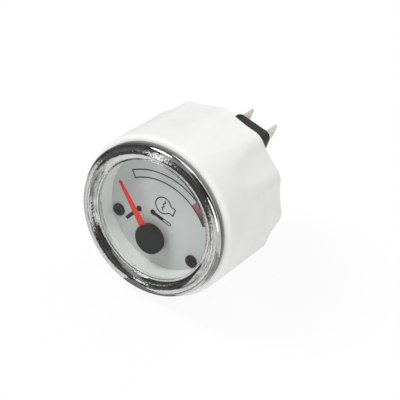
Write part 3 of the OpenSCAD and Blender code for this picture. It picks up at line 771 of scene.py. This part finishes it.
# The pointer
print("pointer")
pointerLook = {
    "rest": -53.5,          # clock angle in degrees
    "length": 24.25,
    "root": 3.4,
    "tip": 1.05,
    "thick": 0.7,
    "hubRadius": 4.5,
    "boss": 2.2,
    "bossBack": 5.6,
    "bore": 0.65,
    "rows": 24,             # along the blade, the last ones in its round tip
    "tipRows": 4,
    "tipEnd": 0.05,         # half width of the last row
    "section": ((0.45, 0.04), (0.9, 0.18), (1, 0.3), (1, 0.7)),     # share of half width, depth
    "flangeFront": 0.4,     # the hub's flange, behind the ridge
    "edge": 0.1,
    "rearEdge": 0.15,
}


def makePointer(look):
    front = boxOf("pointer")[0].y
    back = front + look["thick"]
    rows, tipRows = look["rows"], look["tipRows"]
    section = [(-side, fall) for side, fall in reversed(look["section"])] + [(0, 0), *look["section"]]
    turn = math.radians(look["rest"])
    along = Vector((math.sin(turn), math.cos(turn)))
    across = Vector((along.y, -along.x))
    vertices, faces = [], []
    tipRound = look["tip"] / 2
    for k in range(rows + 1):
        share = k / rows
        reachOut = look["length"] * share
        half = (look["root"] + (look["tip"] - look["root"]) * share) / 2
        if k > rows - tipRows:
            lift = (k - rows + tipRows) / tipRows
            reachOut = look["length"] - tipRound + tipRound * math.sin(lift * math.pi / 2)
            half = max(look["tipEnd"], tipRound * math.cos(lift * math.pi / 2))
        centre = Vector((hub.x, hub.z)) + along * reachOut
        for side, fall in section:
            spot = centre + across * half * side
            vertices.append((spot.x, front + fall, spot.y))
    width = len(section)
    for k in range(rows):
        for i in range(width):
            a, b = k * width + i, k * width + (i + 1) % width
            faces.append([a, b, b + width, a + width])
    faces += [list(range(width)), list(range(rows * width, (rows + 1) * width))]
    addPiece("pointer_blade", meshFrom("pointer_blade", vertices, faces), "pointer_shaft",
             materials["pointer_red"], ["pointer"], sharp=40)
    flange, edge = front + look["flangeFront"], look["edge"]
    outline = roundCorners([(look["bore"], flange, 0), (look["hubRadius"], flange, edge),
                            (look["hubRadius"], back, edge), (look["boss"], back, edge),
                            (look["boss"], look["bossBack"], look["rearEdge"]),
                            (look["bore"], look["bossBack"], 0)], steps=3)
    boss = turnedMesh("pointer_boss", outline, roundSteps["screw"], (hub.x, hub.z))
    addPiece("pointer_boss", boss, "pointer_shaft", materials["pointer_red"])


makePointer(pointerLook)


def makeCap():
    # shallow black cup over the hub: a face with a soft edge, and a skirt with a notch for the pointer
    look = {"edge": 0.5, "wall": 0.6, "face": 0.6, "dome": 0.08, "notch": 3.6, "notchDeep": 0.95,
            "rearEdge": 0.15, "flat": 0.7}
    radius, front, back = turnedSize("pointer_cap")
    seam = front + look["face"]
    outline = [(0, front)]
    outline += roundCorners([(radius * look["flat"], front + look["dome"] * 0.5, 0),
                             (radius, front + look["dome"], look["edge"]), (radius, seam, 0)], steps=8)
    outline += [(0, seam)]
    face = turnedMesh("hub_cap", outline, roundSteps["cap"], (hub.x, hub.z))
    addPiece("hub_cap", face, "pointer_shaft", materials["cap_black"], ["pointer_cap"])
    inside, edge = radius - look["wall"], look["rearEdge"]
    outline = roundCorners([(inside, seam, 0), (radius, seam, 0), (radius, back, edge),
                            (inside, back, edge)], steps=6)
    half = look["notch"] / 2
    notch = boxMesh((-half, seam - 1, 1), (half, seam + look["notchDeep"], radius + 2),
                    pointerLook["rest"], (hub.x, hub.z))
    skirt = cutAway(turnedMesh("hub_skirt", outline, roundSteps["cap"], (hub.x, hub.z)), [notch])
    addPiece("hub_skirt", skirt, "pointer_shaft", materials["cap_black"])


makeCap()

# The clamp nut
print("clamp nut")
nutLook = {
    "flutes": 12,
    "depth": 1.25,
    "cutter": 40.0,         # radius of each flute
    "start": 7.0,           # plain collar before the flutes
    "run": 24.0,            # over which a flute reaches its depth
    "crest": 80.4,          # clock angle of one crest
    "crestBlend": 0.35,
    "front": 2.5,           # radius of the front edge
    "rearEdge": 0.6,
    "bore": 26.05,
    "thread": 12.0,         # length of the front bore
    "skirt": 28.9,          # radius of the wider rear bore
    "step": 0.6,            # between the two bores
    "boreEdges": (0.3, 0.4, 0.2, 0.1, 0.3),     # corner radii from the rear to the front
    "rearFrom": 15,         # degrees on the rear edge where the flutes end
    "rows": (4, 16, 8),     # rings over the collar, the run of the flutes and the rest
    "least": 0.02,          # what the fluted part stays under the crest circle
}


def fluteFall(angle, depth, look):
    # how far the flutes cut in below the crest circle at an angle
    pitch = 2 * math.pi / look["flutes"]
    turn = (angle - math.radians(look["crest"])) % pitch - pitch / 2
    centre = nutRadius - depth + look["cutter"]
    inside = centre * math.cos(turn) - math.sqrt(look["cutter"] ** 2 - (centre * math.sin(turn)) ** 2)
    fall, blend = nutRadius - inside, look["crestBlend"]
    rounded = (fall + math.sqrt(fall * fall + blend * blend)) / 2 - blend * math.exp(-depth * 4) / 2
    return max(look["least"], rounded)


def makeNut(look):
    begin, end = nutFront + look["start"], nutBack - look["rearEdge"]

    def outerShape(angle, radius, depth):
        if radius < look["skirt"] + 0.5 or depth < begin:
            return radius
        share = min(1.0, (depth - begin) / look["run"])
        deep = look["depth"] * share * share * (3 - 2 * share)
        return radius - fluteFall(angle, deep, look)

    front, run, rear = look["front"], look["run"], look["rearEdge"]
    collar, fluted, rest = look["rows"]
    outline = arcPoints((nutRadius - front, nutFront + front), front, -90, 0, steps=14)
    outline += [(nutRadius, nutFront + front + (begin - nutFront - front) * k / collar)
                for k in range(1, collar + 1)]
    outline += [(nutRadius, begin + run * k / fluted) for k in range(1, fluted + 1)]
    outline += [(nutRadius, begin + run + (end - begin - run) * k / rest) for k in range(1, rest + 1)]
    outline += arcPoints((nutRadius - rear, end), rear, look["rearFrom"], 90, steps=5)
    bore, step, threadEnd = look["bore"], look["step"], nutFront + look["thread"]
    corners = [(look["skirt"], nutBack), (look["skirt"], threadEnd + 1), (bore + step, threadEnd),
               (bore, threadEnd - step), (bore, nutFront)]
    outline += roundCorners([(*spot, size) for spot, size in zip(corners, look["boreEdges"])], steps=4)
    mesh = turnedMesh("white_nut", outline, roundSteps["nut"], shape=outerShape)
    addPiece("white_nut", mesh, "nut_body", materials["nut_white"], ["clamp_nut"], sharp=30)


makeNut(nutLook)

# The terminals
print("terminals")


def insetOutline(low, high, inset, size, steps):
    # the box's outline in x and z, moved in by inset and with round corners
    return roundCorners([(low.x + inset, low.z + inset, size), (high.x - inset, low.z + inset, size),
                         (high.x - inset, high.z - inset, size),
                         (low.x + inset, high.z - inset, size)], steps)


def makeBlock():
    # moulded block with soft edges, hollow from the front, with a slot for each blade and three pegs
    # that reach forward into the case
    look = {"corner": 3.0, "edge": 0.7, "wall": 1.6, "cavityCorner": 1.4, "floor": 2.0,
            "front": 42.5, "frontEdge": 0.15, "edgeSteps": 6,
            "slots": {"supply_tab": (1.0, 6.5), "sender_tab": (1.0, 6.5), "earth_tab": (6.5, 1.0)},
            "pegs": ((0, 16.6), (-5.6, 2.2), (5.6, 2.2)), "peg": 1.2, "pegEdge": 0.25, "pegHead": 1.8,
            "pegBack": 1.5}
    low, high = boxOf("terminal_block")
    front, edge = look["front"], look["frontEdge"]
    rings = []
    profile = [(front, edge), (front + edge, 0)] + [
        (high.y - look["edge"] * (1 - math.sin(a)), look["edge"] * (1 - math.cos(a)))
        for a in (math.radians(90 * k / look["edgeSteps"]) for k in range(look["edgeSteps"] + 1))]
    for depth, inset in profile:
        size = look["corner"] - inset
        rings.append([(p.x, depth, p.y) for p in insetOutline(low, high, inset, size, steps=10)])
    hollow = insetOutline(low, high, look["wall"], look["cavityCorner"], steps=6)
    cutters = [slabMesh("hollow", [(p.x, p.y) for p in hollow], front - 1, high.y - look["floor"])]
    for node, (wide, tall) in look["slots"].items():
        middle = middleOf(node)
        cutters.append(boxMesh((middle.x - wide / 2, front, middle.z - tall / 2),
                               (middle.x + wide / 2, high.y + 1, middle.z + tall / 2)))
    block = cutAway(loftMesh("block_body", rings), cutters)
    addPiece("block_body", block, "gauge_body", materials["block_black"],
             ["terminal_block"], sharp=30)
    peg, head, back = look["peg"], look["pegHead"], high.y - look["pegBack"]
    outline = roundCorners([(0, low.y, 0), (peg, low.y, look["pegEdge"]), (peg, front, 0),
                            (head, front, edge), (head, back, 0), (0, back, 0)], steps=4)
    for k, place in enumerate(look["pegs"]):
        name = "block_peg_" + str(k + 1)
        mesh = turnedMesh(name, outline, roundSteps["peg"], place)
        addPiece(name, mesh, "gauge_body", materials["block_black"])


makeBlock()

bladeLook = {
    "tail": 1.5,            # half width inside the block
    "tailChamfer": 0.4,
    "shoulder": 55.9,       # where the blade takes its full width
    "chamfer": 0.7,
    "tipHalf": 0.26,        # half thickness at the tip
    "edge": 0.09,
    "hole": 0.8,
    "holeFromTip": 3.2,
}


def makeBlade(node, look):
    # pressed from tinned sheet: thinned tip, latch hole, bare brass along the sheared edges
    low, high = boxOf(node)
    middle = (low + high) / 2
    upright = high.z - low.z > high.x - low.x
    wide = (high.z - low.z if upright else high.x - low.x) / 2
    thick = (high.x - low.x if upright else high.z - low.z) / 2

    def place(across, depth, out):
        if upright:
            return (middle.x + out, depth, middle.z + across)
        return (middle.x + across, depth, middle.z + out)

    chamfer, tail, shoulder = look["chamfer"], look["tail"], look["shoulder"]
    cut, tip, edge = look["tailChamfer"], look["tipHalf"], look["edge"]
    stations = [(low.y, tail - cut, tip), (low.y + cut, tail, thick), (shoulder, tail, thick),
                (shoulder, wide, thick), (high.y - chamfer, wide, thick), (high.y, wide - chamfer, tip)]
    rings = []
    for depth, half, out in stations:
        corners = [(half - edge, out), (half, out - edge), (half, edge - out), (half - edge, -out)]
        corners += [(-a, -b) for a, b in corners]
        rings.append([place(a, depth, b) for a, b in corners])
    turns = [2 * math.pi * k / roundSteps["hole"] for k in range(roundSteps["hole"])]
    hole = [[place(look["hole"] * math.cos(a), high.y - look["holeFromTip"] + look["hole"] * math.sin(a), out)
             for a in turns] for out in (-1, 1)]
    name = node.replace("tab", "blade")
    mesh = cutAway(loftMesh(name, rings), [loftMesh("hole", hole)])
    addPiece(name, mesh, "gauge_body", materials["tinned_brass"], [node], sharp=30)
    mesh.materials.append(materials["sheared_brass"])
    for face in mesh.polygons:
        if abs(face.normal.x if upright else face.normal.z) < 0.5:
            face.material_index = 1


for node in ("supply_tab", "sender_tab", "earth_tab"):
    makeBlade(node, bladeLook)

# The dial plate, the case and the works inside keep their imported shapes
print("case and works")
keptNodes = {
    "dial_plate": "dial_white", "dial_posts": "brass", "spindle": "steel", "stop_arm": "brass",
    "magnet_rotor": "magnet_grey", "bobbin_front": "bobbin_plastic", "bobbin_rear": "bobbin_plastic",
    "coil_inner": "copper_winding", "coil_outer": "copper_winding", "coil_pins": "tinned",
    "shield_can": "steel", "circuit_board": "board_green", "board_screws": "steel",
    "series_resistor": "resistor_body", "dial_lamps": "lamp_clear", "barrel_case": "case_black",
}
for name, material in keptNodes.items():
    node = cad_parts[name]
    node.data.materials.clear()
    node.data.materials.append(materials[material])

# Camera, floor and light
print("stage")
cameraLook = {
    "place": (207.98, -506.21, 413.12),
    "aim": (5.83, 20.0, 3.11),
    "roll": 22.62,
    "lens": 170.0,
    "sensor": 36.0,
    "near": 0.05,           # clipping, in metres
    "far": 20,
}


def makeCamera(look):
    data = bpy.data.cameras.new("camera")
    data.lens = look["lens"]
    data.sensor_width = look["sensor"]
    data.clip_start = look["near"]
    data.clip_end = look["far"]
    camera = addObject("camera", data)
    place, aim = Vector(look["place"]) * mm, Vector(look["aim"]) * mm
    turn = (aim - place).to_track_quat("-Z", "Y").to_matrix()
    roll = Matrix.Rotation(math.radians(look["roll"]), 3, "Z")
    camera.matrix_world = Matrix.Translation(place) @ (turn @ roll).to_4x4()
    scene.camera = camera


makeCamera(cameraLook)


def backgroundShare(tree):
    # 1 for what the camera, a mirror or glass sees, 0 for light that falls on the gauge
    path = addNode(tree, "LightPath")
    some = addNode(tree, "Math", operation="MAXIMUM")
    either = addNode(tree, "Math", operation="MAXIMUM")
    joinUp(tree, (path, "Is Camera Ray", some, 0), (path, "Is Glossy Ray", some, 1),
           (some, "Value", either, 0), (path, "Is Transmission Ray", either, 1))
    return either, "Value"


def makeWorld():
    look = {"light": 0.58}
    world = bpy.data.worlds.new("studio")
    world.use_nodes = True
    tree = world.node_tree
    tree.nodes.clear()
    seen = addNode(tree, "Background", {"Color": (1, 1, 1, 1), "Strength": 1.0})
    lit = addNode(tree, "Background", {"Color": (1, 1, 1, 1), "Strength": look["light"]})
    mix = addNode(tree, "MixShader")
    out = addNode(tree, "OutputWorld")
    joinUp(tree, (*backgroundShare(tree), mix, "Fac"), (lit, "Background", mix, 1),
           (seen, "Background", mix, 2), (mix, "Shader", out, "Surface"))
    scene.world = world


makeWorld()


def makeFloor():
    # pale floor under the nut; it shows almost white and keeps a part of the gauge's shadow
    look = {"half": 1500.0, "tone": 0.95, "keep": 0.88, "rough": 0.9}
    level = cadBox[0].z / mm
    half = look["half"]
    mesh = meshFrom("floor", [(-half, -half, level), (half, -half, level), (half, half, level),
                              (-half, half, level)], [[0, 1, 2, 3]])
    floor = addObject("floor", mesh)
    material, tree, shader = startMaterial("floor")
    shader.inputs["Base Color"].default_value = rgb(look["tone"], look["tone"], look["tone"])
    shader.inputs["Roughness"].default_value = look["rough"]
    glow = addNode(tree, "Emission", {"Color": (1, 1, 1, 1), "Strength": 1.0})
    share = addNode(tree, "Math", {1: look["keep"]}, operation="MULTIPLY")
    mix = addNode(tree, "MixShader")
    out = tree.nodes["Material Output"]
    joinUp(tree, (*backgroundShare(tree), share, 0), (share, "Value", mix, "Fac"),
           (shader, "BSDF", mix, 1), (glow, "Emission", mix, 2), (mix, "Shader", out, "Surface"))
    mesh.materials.append(material)
    floor.visible_glossy = False        # mirrors see the cards and the white world instead


makeFloor()

lampAim = (0, 20, 0)
lampLooks = {
    "key": {"place": (-440, -390, 580), "size": 360, "power": 3.6},
    "fill": {"place": (560, -380, 260), "size": 500, "power": 1.2},
    "back": {"place": (-120, 620, 520), "size": 420, "power": 1.2},
}


def makeLamps(looks):
    for name, look in looks.items():
        data = bpy.data.lights.new(name, "AREA")
        data.shape = "DISK"
        data.size = look["size"] * mm
        data.energy = look["power"]
        lamp = addObject(name, data)
        lamp.location = Vector(look["place"]) * mm
        aim = Vector(lampAim) * mm - lamp.location
        lamp.rotation_euler = aim.to_track_quat("-Z", "Y").to_euler()


makeLamps(lampLooks)

# Cards that only mirrors see, so that the chrome has a studio to reflect. A card in the air is a strip
# of a sphere: each station is degrees from -Y towards +X, then the lowest and highest degrees above
# the floor, or for a card that runs upward its height and then its left and right edges.
# A card on the floor is an outline in x and y.
cardLooks = {
    "surround": {"far": 2400, "tone": 0.92, "uneven": 0.15, "stations": [(-180, -90, 90), (180, -90, 90)]},
    "backFlag": {"far": 2000, "tone": 0.15, "uneven": 0.6,
                 "stations": [(-176, 15, 60), (-152, 15, 60), (-150, -30, 80), (-115, -31, 80),
                              (-85, -31, 80)]},
    "topShade": {"far": 1900, "tone": 0.2, "uneven": 0.4,
                 "stations": [(-130, -78, -60), (-110, -76, -60), (-90, -72, -60), (-77, -66, -59)]},
    "leftFlag": {"far": 1960, "tone": 0.07, "uneven": 0.7,
                 "stations": [(-86, -36, 80), (-66, -34.5, 80), (-60, -29, 80), (-48, -25.5, 80),
                              (-40, -26, 80), (-33, -27, 80), (-26, -25, 80)]},
    "middleFlag": {"far": 1940, "tone": 0.085, "uneven": 0.7,
                   "stations": [(-27, -25.5, 80), (-21, -28, 80), (-14, -28, 80), (-10, -26.5, 80),
                                (-6, -23, 80), (0, -19, 80)]},
    "rightFlag": {"far": 1960, "tone": 0.06, "uneven": 0.75,
                  "stations": [(0, -19, 80), (8, -13, 80), (14, -8, 80), (22, -3, 80), (30, 2, 80),
                               (40, 8, 80)]},
    "farFlag": {"far": 1960, "tone": 0.028, "uneven": 0.6,
                "stations": [(39, 8, 80), (60, 14, 80), (82, 18, 80), (110, 20, 80), (132, 24, 80)]},
    "glowHigh": {"far": 1900, "tone": 0.36, "uneven": 0.4,
                 "stations": [(-38, 18, 66), (-14, 4, 66), (5, 14, 66)]},
    "glowLow": {"far": 1900, "tone": 0.3, "uneven": 0.4, "stations": [(-26, -6, 18), (-12, -6, 8)]},
    "slit": {"far": 1880, "tone": 1.25, "uneven": 0.15, "upright": True,
             "stations": [(-17, -24.5, -21.5), (-12, -25.5, -20.5), (-6, -24.5, -21)]},
    "rightTable": {"far": 2040, "tone": 0.37, "uneven": 0.6,
                   "stations": [(33, -50, -22), (50, -60, -20), (100, -62, -22), (150, -60, -30)]},
    "rightWall": {"far": 2060, "tone": 0.72, "uneven": 0.4,
                  "stations": [(16, -28, 24), (60, -26, 24), (132, -26, 24)]},
    "middleTable": {"far": 2030, "tone": 0.33, "uneven": 0.6, "stations": [(1, -43, -30), (19, -43, -28)]},
    "paleLeft": {"far": 2040, "tone": 0.6, "uneven": 0.85,
                 "stations": [(-82, -60, -31), (-57, -52, -29), (-40, -46, -25), (-27, -42, -25)]},
    "paleRight": {"far": 2050, "tone": 0.62, "uneven": 0.8,
                  "stations": [(-14, -42, -26), (0, -48, -19), (10, -50, -11), (30, -50, 0)]},
    "brightLeft": {"far": 2040, "tone": 1.4, "uneven": 0.1,
                   "stations": [(-155, -62, -36), (-110, -66, -36), (-92, -64, -38), (-84, -62, -46)]},
    "table": {"far": 1980, "tone": 0.075, "uneven": 0.75,
              "stations": [(-77, -64, -59), (-72, -66.5, -57), (-66, -69.5, -54.5), (-58, -71.5, -51.5),
                           (-46, -72, -48), (-36, -70, -44.5), (-30, -68, -42), (-26, -66, -41),
                           (-22, -64.5, -40.5), (-17, -63, -39), (-13, -61.5, -38), (-9, -57, -39),
                           (-5, -50, -42), (-3, -46, -45)]},
    "tableSlit": {"far": 1880, "tone": 1.35, "uneven": 0.15, "upright": True,
                  "stations": [(-68, -42, -31), (-62, -38, -29.5), (-56, -31.5, -25.5), (-48, -27, -23.2),
                               (-41.5, -25, -22.2)]},
    "frontFloor": {"lift": 0.5, "tone": 0.08, "uneven": 0.7,
                   "outline": [(-8, -53), (-4.5, -62), (-4, -84), (-2, -130), (30, -270), (-420, -270),
                               (-420, -60), (-60, -54), (-44, -53)]},
    "frontSlit": {"lift": 1.0, "tone": 1.35, "uneven": 0.15,
                  "outline": [(-27, -52), (-31.5, -69), (-34.5, -80), (-41.5, -100), (-56, -150), (-84, -265),
                              (-96, -265), (-64, -150), (-48, -100), (-39, -80), (-35, -69), (-30, -52)]},
    "nearFloor": {"lift": 0.3, "tone": 0.75, "uneven": 0.2,
                  "outline": [(-45, -13.5), (45, -13.5), (45, 0), (-45, 0)]},
    # painted shadow: a dark card under the rim that stands in, for mirrors only, for the gauge's own shadow
    # on the floor
    "underShadow": {"lift": 0.5, "tone": 0.17, "uneven": 0.4,
                   "outline": [(-2, -13), (20, -11), (24, 4), (-2, 4)]},
}


def cardMaterial(name, tone, uneven):
    # glowing unevenly, in patches that show as grain in the chrome; only mirrors find it, so it is no lamp
    patch = 120         # millimetres
    material, tree, shader = startMaterial(name)
    material.cycles.emission_sampling = "NONE"
    tree.nodes.remove(shader)
    glow = addNode(tree, "Emission")
    out = tree.nodes["Material Output"]
    place = addNode(tree, "TexCoord")
    upright = addNode(tree, "Mapping", {"Scale": (1, 1, 0.3)})
    patches = addNode(tree, "TexNoise", {"Detail": 3.0, "Roughness": 0.6, "Scale": 1 / (patch * mm)})
    level = addNode(tree, "MapRange", {"From Min": 0.38, "From Max": 0.62, "To Min": tone * (1 - uneven),
                                       "To Max": tone * (1 + uneven)})
    joinUp(tree, (place, "Object", upright, "Vector"), (upright, "Vector", patches, "Vector"),
           (patches, "Fac", level, "Value"), (level, "Result", glow, "Strength"),
           (glow, "Emission", out, "Surface"))
    return material


def onSphere(far, turn, rise):
    # a place on a sphere round the gauge, by degrees from -Y towards +X and degrees above the floor
    turn, rise = math.radians(turn), math.radians(rise)
    flat = far * math.cos(rise)
    return (flat * math.sin(turn), -flat * math.cos(turn), far * math.sin(rise))


def sphereStrip(name, look):
    rows, columns = 18, 12
    lines = []
    for one, two in zip(look["stations"], look["stations"][1:]):
        for k in range(columns + 1):
            lines.append(Vector(one).lerp(Vector(two), k / columns))
    vertices = []
    for place, first, last in lines:
        for i in range(rows + 1):
            along = first + (last - first) * i / rows
            if "upright" in look:
                vertices.append(onSphere(look["far"], along, place))
            else:
                vertices.append(onSphere(look["far"], place, along))
    faces = [[a, a + 1, a + rows + 2, a + rows + 1]
             for k in range(len(lines) - 1) for a in range(k * (rows + 1), k * (rows + 1) + rows)]
    return meshFrom(name, vertices, faces)


def makeCards(looks):
    level = cadBox[0].z / mm
    for name, look in looks.items():
        if "stations" in look:
            mesh = sphereStrip(name, look)
        else:
            vertices = [(x, y, level + look["lift"]) for x, y in look["outline"]]
            mesh = meshFrom(name, vertices, [list(range(len(vertices)))])
        card = addObject(name, mesh)
        mesh.materials.append(cardMaterial(name, look["tone"], look["uneven"]))
        card.visible_camera = False
        card.visible_diffuse = False
        card.visible_shadow = False
        card.visible_transmission = False


makeCards(cardLooks)
